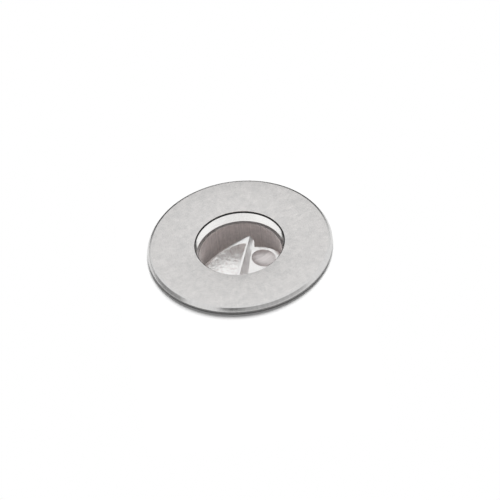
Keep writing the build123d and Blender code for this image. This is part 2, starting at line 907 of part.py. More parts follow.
with BuildPart() as led_emitters:
    led_shares = (rear_led_share, left_led_share, right_led_share)
    with BuildSketch(optic_plane.offset(board_top)):
        with Locations(*[at(share) for share in led_shares]):
            Rectangle(led_size, led_size)
    extrude(amount=led_height)
    with BuildSketch(optic_plane.offset(board_top + led_height)):
        with Locations(*[at(share) for share in led_shares]):
            Circle(led_lens_radius)
    extrude(amount=led_lens_radius)
    lens_tops = led_emitters.edges().filter_by(GeomType.CIRCLE).group_by(Axis.Z)[-1]
    fillet(lens_tops, led_lens_round)
save(led_emitters, "led_emitters")

# Left bowl of the reflector: a ball cut off along the ridge
peak_x, peak_y = at(peak_share)
ridge_x, ridge_y = at(ridge_end_share)
reach = 2 * reflector_radius
with BuildPart() as left_bowl:
    ball_x, ball_y = at(left_bowl_share)
    ball_height = board_top + left_bowl_floor_share * reflector_height + left_bowl_radius
    with Locations(optic_plane.from_local_coords((ball_x, ball_y, ball_height))):
        Sphere(left_bowl_radius)
    with BuildSketch(optic_plane.offset(board_top)):
        with BuildLine():
            Polyline(
                (peak_x - ridge_width, peak_y),
                (ridge_x - ridge_width, ridge_y),
                (-reach, ridge_y),
                (-reach, peak_y),
                close=True,
            )
        make_face()
    extrude(amount=reach, mode=Mode.INTERSECT)

# Step that lowers the reflector right of the ridge: its two end sections, joined
ridge_run = ((peak_x - ridge_x) ** 2 + (peak_y - ridge_y) ** 2) ** 0.5
ridge_fall = ridge_fall_share * reflector_height
ridge_end_height = peak_height - ridge_fall
drop_at_peak = step_drop_at_peak_share * reflector_height
drop_at_end = step_drop_at_end_share * reflector_height
step_ends = (
    (peak_x, peak_y + cut_over, peak_height, step_width_at_peak, drop_at_peak),
    (ridge_x, ridge_y - cut_over, ridge_end_height, step_width_at_end, drop_at_end),
)
with BuildPart() as lowered_side:
    for crest_x, crest_y, crest_height, step_width, step_drop in step_ends:
        foot_x = crest_x + step_width
        foot_height = crest_height - step_drop
        across = Plane(
            optic_plane.from_local_coords((0, crest_y, 0)),
            x_dir=optic_plane.x_dir,
            z_dir=-optic_plane.y_dir,
        )
        with BuildSketch(across):
            with BuildLine():
                Polyline(
                    (crest_x, peak_height + cut_over),
                    (crest_x, crest_height),
                    (foot_x, foot_height),
                    (reach, foot_height - step_side_slope_share * (reach - foot_x)),
                    (reach, peak_height + cut_over),
                    close=True,
                )
            make_face()
    loft(ruled=True)

# Reflector: a ridge that falls from a peak, a large bowl on its left and a small
# one on the lowered side
with BuildPart() as reflector:
    with BuildSketch(optic_plane.offset(board_top)):
        with BuildLine():
            ThreePointArc(at(left_end_share), at(left_mid_share), at(peak_share))
            Line(at(peak_share), at(notch_share))
            ThreePointArc(at(notch_share), at(right_mid_share), at(right_end_share))
            ThreePointArc(at(right_end_share), at(front_share), at(left_end_share))
        make_face()
    extrude(amount=reflector_height)
    fillet(reflector.edges().filter_by(Axis.Z).sort_by(Axis.Y)[-1], peak_round)

    # The top falls away from the peak on all sides
    peak_foot = optic_plane.from_local_coords((peak_x, peak_y, 0))
    side_plane = Plane(peak_foot, x_dir=(1, 0, 0), z_dir=(0, -1, 0))
    with BuildSketch(side_plane):
        with BuildLine():
            Polyline(
                (0, peak_height),
                (reach, peak_height - ridge_fall / ridge_run * reach),
                (reach, peak_height + cut_over),
                (0, peak_height + cut_over),
                close=True,
            )
        make_face()
    revolve(axis=Axis(peak_foot, (0, 0, 1)), mode=Mode.SUBTRACT)
    add(left_bowl.part, mode=Mode.SUBTRACT)
    add(lowered_side.part, mode=Mode.SUBTRACT)

    # Small bowl
    bowl_x, bowl_y = at(right_bowl_share)
    bowl_height = board_top + right_bowl_floor_share * reflector_height + right_bowl_radius
    with Locations(optic_plane.from_local_coords((bowl_x, bowl_y, bowl_height))):
        Sphere(right_bowl_radius, mode=Mode.SUBTRACT)

    # Flared wells over two of the light sources
    for share in (left_led_share, right_led_share):
        well_x, well_y = at(share)
        with Locations(optic_plane.from_local_coords((well_x, well_y, board_top))):
            Cone(
                well_radius,
                well_mouth,
                reflector_height,
                align=(Align.CENTER, Align.CENTER, Align.MIN),
                mode=Mode.SUBTRACT,
            )
save(reflector, "reflector")

# Retaining springs: bent strips that press on the sleeve's wall
with BuildPart() as retaining_spring:
    foot_line = pad_face + spring_thickness / 2
    knee_line = sleeve_bore - spring_running_gap - spring_thickness / 2
    spring_top = -spring_pad_top
    knee_level = spring_top - spring_length * spring_knee_share
    nose_level = spring_top - spring_length
    with BuildLine() as spring_path:
        FilletPolyline(
            (foot_line, 0, spring_top),
            (foot_line, 0, spring_top - spring_foot),
            (knee_line, 0, knee_level),
            (knee_line - spring_nose_inset, 0, nose_level),
            radius=spring_bend,
        )
    with BuildSketch(Plane.XY.offset(spring_top)):
        with Locations((foot_line, 0)):
            Rectangle(spring_thickness, spring_width)
    sweep(path=spring_path.line)

with BuildPart() as retaining_springs:
    with PolarLocations(0, fixing_count, start_angle=spring_angle):
        add(retaining_spring.part)
    with PolarLocations(0, fixing_count, start_angle=spring_angle):
        with Locations(Location((pad_face, 0, spring_screw_level), (0, 90, 0))):
            Cylinder(
                spring_screw_radius + thread_clearance,
                2 * spring_foot,
                mode=Mode.SUBTRACT,
            )
save(retaining_springs, "retaining_springs")

with BuildPart() as spring_screws:
    screw_seat = pad_face + spring_thickness
    with PolarLocations(0, fixing_count, start_angle=spring_angle):
        with Locations(Location((screw_seat, 0, spring_screw_level), (0, 90, 0))):
            Cylinder(
                spring_screw_head,
                spring_screw_head_height,
                align=(Align.CENTER, Align.CENTER, Align.MIN),
            )
            Cylinder(
                spring_screw_radius,
                spring_screw_length,
                align=(Align.CENTER, Align.CENTER, Align.MAX),
            )
save(spring_screws, "spring_screws")

# Gusset that stiffens the sleeve's anchor ring
anchor_level = -anchor_depth
anchor_bottom = anchor_level - anchor_thickness
gusset_root = sleeve_radius - sleeve_wall / 2
with BuildPart() as gusset:
    with BuildSketch(Plane.XZ):
        with BuildLine():
            Polyline(
                (gusset_root, anchor_bottom),
                (anchor_radius - gusset_step, anchor_bottom),
                (gusset_root, anchor_bottom - gusset_drop),
                close=True,
            )
        make_face()
    extrude(amount=gusset_thickness / 2, both=True)

# Buried sleeve: moulded tube with a rim, an anchor ring and two side entries
base_seat = sleeve_bottom + base_flange
with BuildPart() as recess_sleeve:
    rim_bottom = rim_top - sleeve_rim_thickness
    with BuildSketch(Plane.XZ):
        with BuildLine():
            Polyline(
                (sleeve_bore, base_seat),
                (sleeve_radius, base_seat),
                (sleeve_radius, anchor_bottom),
                (anchor_radius, anchor_bottom),
                (anchor_radius, anchor_level),
                (sleeve_radius, anchor_level),
                (sleeve_radius, rim_bottom),
                (sleeve_rim_radius, rim_bottom),
                (sleeve_rim_radius, rim_top),
                (sleeve_bore, rim_top),
                close=True,
            )
        make_face()
    revolve(axis=Axis.Z)
    sleeve_rim_edges = recess_sleeve.edges().filter_by(GeomType.CIRCLE).group_by(Axis.Z)[-1]
    chamfer(sleeve_rim_edges.sort_by(SortBy.RADIUS)[0], sleeve_rim_round)
    with PolarLocations(0, gussets):
        add(gusset.part)

    # Side entries for the supply
    for way in (-1, 1):
        with Locations(Location((0, way * sleeve_radius, entry_level), (way * -90, 0, 0))):
            Cylinder(
                entry_radius,
                entry_reach - sleeve_radius,
                align=(Align.CENTER, Align.CENTER, Align.MIN),
            )
            Cylinder(
                entry_radius,
                sleeve_wall / 2,
                align=(Align.CENTER, Align.CENTER, Align.MAX),
            )
    entry_bore = entry_radius - entry_wall
    with Locations(Location((0, 0, entry_level), (90, 0, 0))):
        Cylinder(entry_bore, 2 * (entry_reach + cut_over), mode=Mode.SUBTRACT)
save(recess_sleeve, "recess_sleeve")

# Base that the sleeve stands in, with a drain opening and slots round it
with BuildPart() as drain_base:
    base_register = sleeve_bore - base_fit
    base_top = sleeve_bottom + base_thickness
    with BuildSketch(Plane.XZ):
        with BuildLine():
            Polyline(
                (drain_radius, sleeve_bottom),
                (sleeve_radius, sleeve_bottom),
                (sleeve_radius, base_seat),
                (base_register, base_seat),
                (base_register, base_top),
                (drain_radius, base_top),
                close=True,
            )
        make_face()
    revolve(axis=Axis.Z)
    with BuildSketch(Plane.XY.offset(sleeve_bottom)):
        with PolarLocations(drain_slot_circle, drain_slots, start_angle=spring_angle):
            SlotOverall(drain_slot_length, drain_slot_width)
    extrude(amount=base_thickness, mode=Mode.SUBTRACT)
save(drain_base, "drain_base")

# Foam seal between the sleeve's rim and the trim ring
with BuildPart() as rim_seal:
    revolve(
        band(
            sleeve_radius + rim_seal_inset,
            sleeve_rim_radius - rim_seal_inset,
            rim_top,
            rim_top + rim_seal_thickness,
        ),
        axis=Axis.Z,
    )
save(rim_seal, "rim_seal")

# Stepped grommet in the rear entry and a blanking plug in the front one
entry_axis = Axis((0, 0, entry_level), (0, 1, 0))
entry_body = entry_bore - grommet_fit
with BuildPart() as cable_grommet:
    with BuildSketch(Plane.YZ):
        with BuildLine():
            Polyline(
                (sleeve_radius, entry_level + entry_body),
                (entry_reach, entry_level + entry_body),
                (entry_reach, entry_level + entry_radius - grommet_fit),
                (entry_reach + grommet_lip_thickness, entry_level + entry_radius - grommet_fit),
                (entry_reach + grommet_lip_thickness, entry_level + entry_body - grommet_wall),
                (sleeve_radius + grommet_lip, entry_level + entry_body - grommet_wall),
                (sleeve_bore - grommet_cone, entry_level + cable_bore),
                (sleeve_bore - grommet_cone, entry_level + cable_bore + grommet_wall),
                close=True,
            )
        make_face()
    revolve(axis=entry_axis)
save(cable_grommet, "cable_grommet")

with BuildPart() as entry_plug:
    with BuildSketch(Plane.YZ):
        with BuildLine():
            Polyline(
                (-sleeve_radius, entry_level),
                (-sleeve_radius, entry_level + entry_body),
                (-entry_reach, entry_level + entry_body),
                (-entry_reach, entry_level + entry_radius - grommet_fit),
                (-entry_reach - grommet_lip_thickness, entry_level + entry_radius - grommet_fit),
                (-entry_reach - grommet_lip_thickness, entry_level + entry_body - grommet_wall),
                (-sleeve_radius - plug_floor, entry_level + entry_body - grommet_wall),
                (-sleeve_radius - plug_floor, entry_level),
                close=True,
            )
        make_face()
    revolve(axis=entry_axis)
save(entry_plug, "entry_plug")
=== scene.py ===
import bpy
import bmesh
import json
import math
from bpy.props import FloatProperty, FloatVectorProperty, PointerProperty
from mathutils import Matrix, Vector


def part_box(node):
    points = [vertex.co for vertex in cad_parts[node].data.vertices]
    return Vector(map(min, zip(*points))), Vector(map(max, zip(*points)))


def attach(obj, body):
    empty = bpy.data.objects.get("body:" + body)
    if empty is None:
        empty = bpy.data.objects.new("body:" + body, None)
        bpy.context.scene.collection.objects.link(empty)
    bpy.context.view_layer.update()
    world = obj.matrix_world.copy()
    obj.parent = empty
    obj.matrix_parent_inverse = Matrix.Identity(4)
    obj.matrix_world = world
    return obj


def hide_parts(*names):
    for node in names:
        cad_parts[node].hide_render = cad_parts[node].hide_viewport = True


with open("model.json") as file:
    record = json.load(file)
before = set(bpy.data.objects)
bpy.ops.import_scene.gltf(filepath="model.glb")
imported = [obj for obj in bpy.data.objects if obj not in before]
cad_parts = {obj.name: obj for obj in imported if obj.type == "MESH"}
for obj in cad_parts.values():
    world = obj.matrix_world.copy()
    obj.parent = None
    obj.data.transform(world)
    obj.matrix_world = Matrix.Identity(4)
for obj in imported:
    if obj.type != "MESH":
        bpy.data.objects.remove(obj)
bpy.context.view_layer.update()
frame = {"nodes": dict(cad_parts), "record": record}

bl_info = {
    "name": "Recessed ground light",
    "version": (1, 0, 0),
    "blender": (4, 5, 0),
    "location": "3D View > Sidebar > Ground light",
    "description": "Builds the looks of a recessed ground light round its CAD frame",
    "category": "Add Mesh",
}

MM = 0.001
FULL_TURN = 2 * math.pi
LATHE_STEPS = 192
BALL_STEPS = 48
CORNER_STEPS = 4
SHARP_ANGLE = math.radians(28)

# A point of a profile nearer to the axis than this lies on it
ON_AXIS = 1e-7

# How much wider the patches of colour are than the grain of a plain finish
GRAINS_TO_A_PATCH = 12

# Outer radius of the ring's neck, which the gasket shares
NECK_RADIUS = 32.35 * MM


# Sizes that a user would change


class RingSizes(bpy.types.PropertyGroup):
    """Sizes of the trim ring and its window"""

    radius: FloatProperty(
        name="Radius",
        description="Outer radius of the trim ring",
        default=60.0 * MM,
        unit="LENGTH",
    )
    thickness: FloatProperty(
        name="Thickness",
        description="Height of the ring's face above the ground",
        default=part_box("trim_ring")[1].z,
        unit="LENGTH",
    )
    bevel_width: FloatProperty(
        name="Bevel width",
        description="Width of the bevel seen from above",
        default=2.1 * MM,
        unit="LENGTH",
    )
    bevel_height: FloatProperty(
        name="Bevel height",
        description="Height of the bevel",
        default=2.7 * MM,
        unit="LENGTH",
    )
    aperture: FloatProperty(
        name="Aperture",
        description="Radius of the opening in the ring's face",
        default=29.3 * MM,
        unit="LENGTH",
    )
    steel: FloatVectorProperty(
        name="Steel",
        description="Colour of the stainless steel",
        default=(0.655, 0.65, 0.645),
        subtype="COLOR",
        min=0.0,
        max=1.0,
    )


class StageSizes(bpy.types.PropertyGroup):
    """Place of the camera and level of the light"""

    elevation: FloatProperty(
        name="Elevation",
        description="Height of the camera over the horizon",
        default=math.radians(44.1),
        subtype="ANGLE",
    )
    distance: FloatProperty(
        name="Distance",
        description="Distance from the camera to the ring",
        default=1.884,
        unit="LENGTH",
    )
    roll: FloatProperty(
        name="Roll",
        description="Turn of the picture about the line of sight",
        default=math.radians(6.9),
        subtype="ANGLE",
    )
    lens: FloatProperty(
        name="Lens",
        description="Focal length in millimetres",
        default=210.5,
    )
    level: FloatProperty(
        name="Light level",
        description="Strength of the even light round the object",
        default=0.28,
        min=0.0,
    )


# Mesh tools


def shade_smooth(bm):
    """Smooth faces, with the sharp edges left sharp."""
    for face in bm.faces:
        face.smooth = True
    for edge in bm.edges:
        if len(edge.link_faces) == 2:
            edge.smooth = edge.calc_face_angle(0.0) < SHARP_ANGLE


def new_object(name, bm, materials):
    """Links a mesh object, smooth except across sharp edges, and frees the mesh data."""
    bmesh.ops.recalc_face_normals(bm, faces=bm.faces)
    shade_smooth(bm)
    mesh = bpy.data.meshes.new(name)
    bm.to_mesh(mesh)
    bm.free()
    for material in materials:
        mesh.materials.append(material)
    made = bpy.data.objects.new(name, mesh)
    bpy.context.scene.collection.objects.link(made)
    return made


def rounded(corners):
    """Closed profile of (r, z, corner radius) points with its corners rounded."""
    points = []
    count = len(corners)
    for i, (r, z, radius) in enumerate(corners):
        here = Vector((r, z))
        if radius <= 0:
            points.append(here)
            continue
        before = (Vector(corners[i - 1][:2]) - here).normalized()
        after = (Vector(corners[(i + 1) % count][:2]) - here).normalized()
        half = before.angle(after) / 2
        reach = radius / math.tan(half)
        start = here + before * reach
        end = here + after * reach
        centre = here + (before + after).normalized() * (radius / math.sin(half))
        for k in range(CORNER_STEPS + 1):
            along = start.lerp(end, k / CORNER_STEPS) - centre
            points.append(centre + along.normalized() * radius)
    return [(p.x, p.y) for p in points]


def lathe(bm, profile, steps=LATHE_STEPS, material_of=None):
    """Turns a closed (r, z) profile about the Z axis. material_of takes the two ends of a band."""
    rings = []
    for r, z in profile:
        if r < ON_AXIS:
            rings.append([bm.verts.new((0, 0, z))])
            continue
        ring = []
        for k in range(steps):
            angle = FULL_TURN * k / steps
            ring.append(bm.verts.new((r * math.cos(angle), r * math.sin(angle), z)))
        rings.append(ring)
    for i, ring in enumerate(rings):
        other = rings[(i + 1) % len(rings)]
        if len(ring) == 1 and len(other) == 1:
            continue
        index = material_of(profile[i], profile[(i + 1) % len(profile)]) if material_of else 0
        for k in range(steps):
            corners = [
                ring[k % len(ring)],
                ring[(k + 1) % len(ring)],
                other[(k + 1) % len(other)],
                other[k % len(other)],
            ]
            face = bm.faces.new(list(dict.fromkeys(corners)))
            face.material_index = index


def turned(name, profile, materials, steps=LATHE_STEPS, material_of=None):
    """A new object turned from a profile."""
    bm = bmesh.new()
    lathe(bm, profile, steps, material_of)
    return new_object(name, bm, materials)


def arc_through(start, middle, end, steps):
    """Points on the arc through three places, its two ends included."""
    (ax, ay), (bx, by), (cx, cy) = start, middle, end
    d = 2 * (ax * (by - cy) + bx * (cy - ay) + cx * (ay - by))
    a2, b2, c2 = ax * ax + ay * ay, bx * bx + by * by, cx * cx + cy * cy
    x = (a2 * (by - cy) + b2 * (cy - ay) + c2 * (ay - by)) / d
    y = (a2 * (cx - bx) + b2 * (ax - cx) + c2 * (bx - ax)) / d
    radius = math.hypot(ax - x, ay - y)
    first = math.atan2(ay - y, ax - x)
    halfway = (math.atan2(by - y, bx - x) - first) % FULL_TURN
    sweep = (math.atan2(cy - y, cx - x) - first) % FULL_TURN
    if halfway > sweep:
        sweep -= FULL_TURN
    angles = [first + sweep * k / steps for k in range(steps + 1)]
    return [(x + radius * math.cos(t), y + radius * math.sin(t)) for t in angles]


def prism(bm, outline, low, high):
    """Closes an outline of (x, y) points between two heights."""
    ends = [[bm.verts.new((x, y, z)) for x, y in outline] for z in (low, high)]
    count = len(outline)
    bm.faces.new(list(reversed(ends[0])))
    bm.faces.new(ends[1])
    for k in range(count):
        after = (k + 1) % count
        bm.faces.new((ends[0][k], ends[0][after], ends[1][after], ends[1][k]))


def ball(bm, centre, radius, index):
    """Adds a ball, from its lowest point up, with one finish."""
    angles = [math.pi * k / BALL_STEPS for k in range(BALL_STEPS)]
    profile = [(radius * math.sin(angle), -radius * math.cos(angle)) for angle in angles]
    lathe(bm, [*profile, (0, radius)], 2 * BALL_STEPS, lambda a, b: index)
    bmesh.ops.translate(bm, verts=bm.verts, vec=centre)


def carve(target, bm, operation="DIFFERENCE"):
    """Cuts a piece with a mesh, which is used up."""
    cutter = new_object("cutter", bm, [None] * len(target.data.materials))
    cut = target.modifiers.new("cut", "BOOLEAN")
    cut.operation = operation
    cut.solver = "EXACT"
    cut.material_mode = "INDEX"
    cut.object = cutter
    bpy.context.view_layer.update()
    shape = target.evaluated_get(bpy.context.evaluated_depsgraph_get())
    mesh = bpy.data.meshes.new_from_object(shape)
    target.modifiers.clear()
    target.data = mesh
    bpy.data.objects.remove(cutter)


# Material tools


def scaled(colour, shares):
    """A colour with each channel times its share, at most 1."""
    return tuple(min(1.0, c * share) for c, share in zip(colour, shares))


class Shader:
    """A material's node tree, with short calls to add to it."""

    def __init__(self, name):
        self.material = bpy.data.materials.new(name)
        self.material.use_nodes = True
        self.tree = self.material.node_tree
        self.tree.nodes.clear()
        self.output = self.tree.nodes.new("ShaderNodeOutputMaterial")

    def add(self, kind, settings=None, **inputs):
        made = self.tree.nodes.new(kind)
        for key, value in (settings or {}).items():
            setattr(made, key, value)
        for key, value in inputs.items():
            self.put(made.inputs[key.replace("_", " ")], value)
        return made

    def put(self, socket, value):
        if isinstance(value, bpy.types.NodeSocket):
            self.tree.links.new(value, socket)
        else:
            socket.default_value = value

    def math(self, operation, *values):
        made = self.tree.nodes.new("ShaderNodeMath")
        made.operation = operation
        for socket, value in zip(made.inputs, values):
            self.put(socket, value)
        return made.outputs[0]

    def ramp(self, factor, *stops):
        """Colour ramp from (place, colour) stops."""
        made = self.tree.nodes.new("ShaderNodeValToRGB")
        elements = made.color_ramp.elements
        while len(elements) < len(stops):
            elements.new(0.5)
        for element, (place, colour) in zip(elements, stops):
            element.position = place
            element.color = (*colour, 1.0)
        self.put(made.inputs[0], factor)
        return made.outputs[0]

    def spread(self, factor, low, high):
        """Maps a 0 to 1 value to the range from low to high."""
        return self.math("ADD", low, self.math("MULTIPLY", factor, high - low))

    def place(self):
        """Object coordinates, in metres."""
        return self.add("ShaderNodeTexCoord").outputs["Object"]

    def split(self):
        """The x, y and z of the object coordinates."""
        made = self.add("ShaderNodeSeparateXYZ", Vector=self.place())
        return made.outputs[0], made.outputs[1], made.outputs[2]

    def radius(self):
        """Distance from the Z axis, in metres."""
        x, y, _ = self.split()
        squares = self.math("ADD", self.math("MULTIPLY", x, x), self.math("MULTIPLY", y, y))
        return self.math("SQRT", squares)

    def turn(self):
        """Angle about the Z axis, in radians."""
        x, y, _ = self.split()
        return self.math("ARCTAN2", y, x)

    def noise(self, scale, detail, roughness=0.5):
        made = self.add(
            "ShaderNodeTexNoise",
            Vector=self.place(),
            Scale=scale,
            Detail=detail,
            Roughness=roughness,
        )
        return made.outputs["Fac"]

    def line_noise(self, value, scale, detail):
        """Noise that changes along one value only."""
        made = self.add(
            "ShaderNodeTexNoise",
            {"noise_dimensions": "1D"},
            W=value,
            Scale=scale,
            Detail=detail,
        )
        return made.outputs["Fac"]

    def bump(self, height, depth):
        """Relief of a 0 to 1 value, with its depth in metres."""
        return self.add("ShaderNodeBump", Height=height, Distance=depth, Strength=1.0).outputs[0]

    def blend(self, first, second, share):
        """Mixes two 0 to 1 values, with a share of the first."""
        return self.math(
            "ADD", self.math("MULTIPLY", first, share), self.math("MULTIPLY", second, 1 - share)
        )

    def principled(self, colour, metallic, roughness, normal):
        """Ends the material in one shader."""
        made = self.tree.nodes.new("ShaderNodeBsdfPrincipled")
        self.put(made.inputs["Base Color"], colour)
        self.put(made.inputs["Metallic"], metallic)
        self.put(made.inputs["Roughness"], roughness)
        self.put(made.inputs["Normal"], normal)
        self.put(self.output.inputs[0], made.outputs[0])

    def tinted(self, colour, factor, share):
        """A colour that a 0 to 1 value makes lighter and darker by a share."""
        low = scaled(colour, 3 * (1 - share,))
        high = scaled(colour, 3 * (1 + share,))
        return self.ramp(factor, (0.0, low), (1.0, high))


def ring_face_steel(colour):
    """Fine turned face of the trim ring."""
    s = Shader("ring_face_steel")
    grooves = s.line_noise(s.radius(), scale=9000.0, detail=2.0)
    patches = s.noise(scale=170.0, detail=4.0, roughness=0.7)
    grain = s.noise(scale=700.0, detail=3.0)
    mixed = s.blend(patches, grain, share=0.65)
    cool = scaled(colour, (0.9, 0.9, 0.9))
    warm = scaled(colour, (1.17, 1.15, 1.142))
    s.principled(
        colour=s.ramp(mixed, (0.3, cool), (0.7, warm)),
        metallic=1.0,
        roughness=s.spread(grooves, low=0.2, high=0.32),
        normal=s.bump(grooves, depth=0.000004),
    )
    return s.material


def ring_edge_steel(colour):
    """Bevel and side of the ring, with painted reflection streaks: its colour streaks by angle stand in
    for the streaked highlights of turned steel, while its roughness streaks and grooves are real.
    """
    s = Shader("ring_edge_steel")
    streaks = s.line_noise(s.turn(), scale=26.0, detail=5.0)
    fine = s.line_noise(s.turn(), scale=160.0, detail=2.0)
    grooves = s.line_noise(s.split()[2], scale=20000.0, detail=1.0)
    mixed = s.blend(streaks, fine, share=0.6)
    s.principled(
        # Painted reflection: the colour goes lighter and darker in streaks by angle
        colour=s.tinted(colour, mixed, share=0.16),
        metallic=1.0,
        roughness=s.spread(mixed, low=0.14, high=0.32),
        normal=s.bump(grooves, depth=0.000003),
    )
    return s.material


def ring_side_steel(colour):
    """Upright side of the ring, duller than the bevel. Its colour is painted shade, the steel darkened to
    0.6 for the shadowed floor it reflects, with painted reflection streaks by angle.
    """
    s = Shader("ring_side_steel")
    streaks = s.line_noise(s.turn(), scale=40.0, detail=4.0)
    lines = s.line_noise(s.split()[2], scale=3000.0, detail=2.0)
    s.principled(
        # Painted shade: the steel at 0.6, with painted reflection streaks by angle
        colour=s.tinted(scaled(colour, (0.6, 0.6, 0.6)), streaks, share=0.2),
        metallic=1.0,
        roughness=s.spread(lines, low=0.3, high=0.45),
        normal=s.bump(lines, depth=0.000005),
    )
    return s.material


def neck_steel(colour):
    """Bore of the ring's neck, with turning lines; the colour it is given is painted light."""
    s = Shader("neck_steel")
    lines = s.line_noise(s.split()[2], scale=2600.0, detail=2.0)
    s.principled(
        colour=s.tinted(colour, lines, share=0.06),
        metallic=1.0,
        roughness=s.spread(lines, low=0.12, high=0.24),
        normal=s.bump(lines, depth=0.000006),
    )
    return s.material


def plain_finish(name, colour, metallic, rough, grain_scale, grain_depth):
    """A moulded, cast or painted finish: mottled colour and a fine grain."""
    s = Shader(name)
    patches = s.noise(grain_scale / GRAINS_TO_A_PATCH, detail=3.0)
    grain = s.noise(grain_scale, detail=3.0, roughness=0.6)
    s.principled(
        colour=s.tinted(colour, patches, share=0.08),
        metallic=metallic,
        roughness=s.spread(grain, *rough),
        normal=s.bump(grain, grain_depth),
    )
    return s.material


def window_pane():
    """Clear pane: what lies under it shows, and its faces take a reflection."""
    least_gloss = 0.015
    slant_gloss = 0.6
    slant_power = 5.0
    s = Shader("window_pane")
    clear = s.add("ShaderNodeBsdfTransparent", Color=(0.99, 0.995, 0.995, 1.0))
    gloss = s.add("ShaderNodeBsdfGlossy", Color=(1.0, 1.0, 1.0, 1.0), Roughness=0.03)
    slant = s.add("ShaderNodeLayerWeight", Blend=0.5).outputs["Facing"]
    slanting = s.math("MULTIPLY", s.math("POWER", slant, slant_power), slant_gloss)
    mixed = s.add("ShaderNodeMixShader")
    s.put(mixed.inputs[0], s.math("ADD", slanting, least_gloss))
    s.put(mixed.inputs[1], clear.outputs[0])
    s.put(mixed.inputs[2], gloss.outputs[0])
    s.put(s.output.inputs[0], mixed.outputs[0])
    return s.material


def clear_side():
    """Side of the pane, seen only through its faces."""
    s = Shader("clear_side")
    clear = s.add("ShaderNodeBsdfTransparent", Color=(0.985, 0.99, 0.99, 1.0))
    s.put(s.output.inputs[0], clear.outputs[0])
    return s.material


def reflector_metal():
    """Metallised lands of the reflector, with a slight ripple."""
    s = Shader("reflector_metal")
    ripple = s.noise(scale=260.0, detail=3.0)
    cloud = s.noise(scale=400.0, detail=3.0)
    s.principled(
        colour=s.tinted((0.94, 0.9, 0.89), cloud, share=0.12),
        metallic=1.0,
        roughness=s.spread(ripple, low=0.26, high=0.44),
        normal=s.bump(ripple, depth=0.00006),
    )
    return s.material


def bowl_metal():
    """Large bowl of the reflector, with a fine orange-peel skin in its bump. Its mottled colour, lighter
    than the reflector's metal, is painted highlight and painted shade.
    """
    s = Shader("bowl_metal")
    cloud = s.noise(scale=420.0, detail=4.0, roughness=0.65)
    skin = s.noise(scale=650.0, detail=3.0)
    s.principled(
        # Painted highlight and shade: colour mottled from 0.78 to 1.0
        colour=s.ramp(cloud, (0.3, (0.78, 0.72, 0.71)), (0.54, (1.0, 0.98, 0.97))),
        metallic=1.0,
        roughness=s.spread(cloud, low=0.24, high=0.42),
        normal=s.bump(skin, depth=0.00028),
    )
    return s.material


def streaked_metal(name, colour, direction, scale, share):
    """Walls and small bowl of the reflector, with streaks that run one way, in degrees."""
    s = Shader(name)
    rotation = (0, 0, math.radians(direction))
    turned_place = s.add("ShaderNodeMapping", Vector=s.place(), Rotation=rotation)
    across = s.add("ShaderNodeSeparateXYZ", Vector=turned_place.outputs[0]).outputs[0]
    streaks = s.line_noise(across, scale, detail=3.0)
    s.principled(
        colour=s.tinted(colour, streaks, share),
        metallic=1.0,
        roughness=s.spread(streaks, low=0.35, high=0.5),
        normal=s.bump(streaks, depth=0.00006),
    )
    return s.material


def shade_metal():
    """Rough satin metal of the shade, with faint upright lines. Its colour is painted light: far lighter
    than the shade's own dark tone, standing in for the light that the recess lacks.
    """
    s = Shader("shade_metal")
    lines = s.line_noise(s.turn(), scale=34.0, detail=4.0)
    cloud = s.noise(scale=380.0, detail=4.0, roughness=0.6)
    mixed = s.blend(lines, cloud, share=0.5)
    s.principled(
        # Painted light: near white, far lighter than the shade's own dark tone
        colour=s.ramp(mixed, (0.3, (0.71, 0.645, 0.635)), (0.7, (0.99, 0.925, 0.91))),
        metallic=0.8,
        roughness=s.spread(lines, low=0.78, high=0.92),
        normal=s.bump(lines, depth=0.00002),
    )
    return s.material


# Slot: colour, metallic, least and most roughness, scale of the grain and its depth in metres
FINISHES = {
    "black_silicone": ((0.022, 0.022, 0.022), 0.0, (0.42, 0.6), 2500.0, 0.00001),
    # Painted light: the gasket's grey is far lighter than its own dark tone, for the light the recess
    # lacks
    "grey_silicone": ((0.66, 0.6, 0.595), 0.0, (0.45, 0.6), 2500.0, 0.00001),
    "housing_paint": ((0.045, 0.046, 0.049), 0.0, (0.38, 0.55), 1600.0, 0.00003),
    "screw_steel": ((0.58, 0.575, 0.57), 1.0, (0.22, 0.4), 1500.0, 0.000004),
    "plated_brass": ((0.64, 0.615, 0.56), 1.0, (0.16, 0.3), 1200.0, 0.000004),
    "black_nylon": ((0.035, 0.035, 0.036), 0.0, (0.45, 0.62), 2200.0, 0.00001),
    "spring_steel": ((0.56, 0.555, 0.545), 1.0, (0.24, 0.36), 900.0, 0.000004),
    "board_green": ((0.03, 0.2, 0.09), 0.0, (0.25, 0.4), 900.0, 0.00001),
    "board_white": ((0.8, 0.8, 0.77), 0.0, (0.3, 0.45), 900.0, 0.00001),
    "part_black": ((0.03, 0.03, 0.032), 0.0, (0.35, 0.5), 2000.0, 0.00001),
    "winding_copper": ((0.66, 0.3, 0.14), 1.0, (0.25, 0.4), 2400.0, 0.00005),
    "terminal_grey": ((0.36, 0.38, 0.4), 0.0, (0.35, 0.5), 1600.0, 0.00001),
    "lead_insulation": ((0.5, 0.05, 0.04), 0.0, (0.4, 0.55), 1200.0, 0.00001),
    "bare_aluminium": ((0.72, 0.725, 0.73), 1.0, (0.25, 0.42), 1500.0, 0.000006),
    "led_phosphor": ((0.88, 0.78, 0.42), 0.0, (0.15, 0.3), 1500.0, 0.000006),
    "sleeve_plastic": ((0.075, 0.076, 0.08), 0.0, (0.48, 0.66), 1300.0, 0.00002),
    "foam_grey": ((0.07, 0.07, 0.072), 0.0, (0.75, 0.9), 2600.0, 0.00008),
    "grommet_rubber": ((0.028, 0.028, 0.03), 0.0, (0.5, 0.7), 1800.0, 0.00001),
}

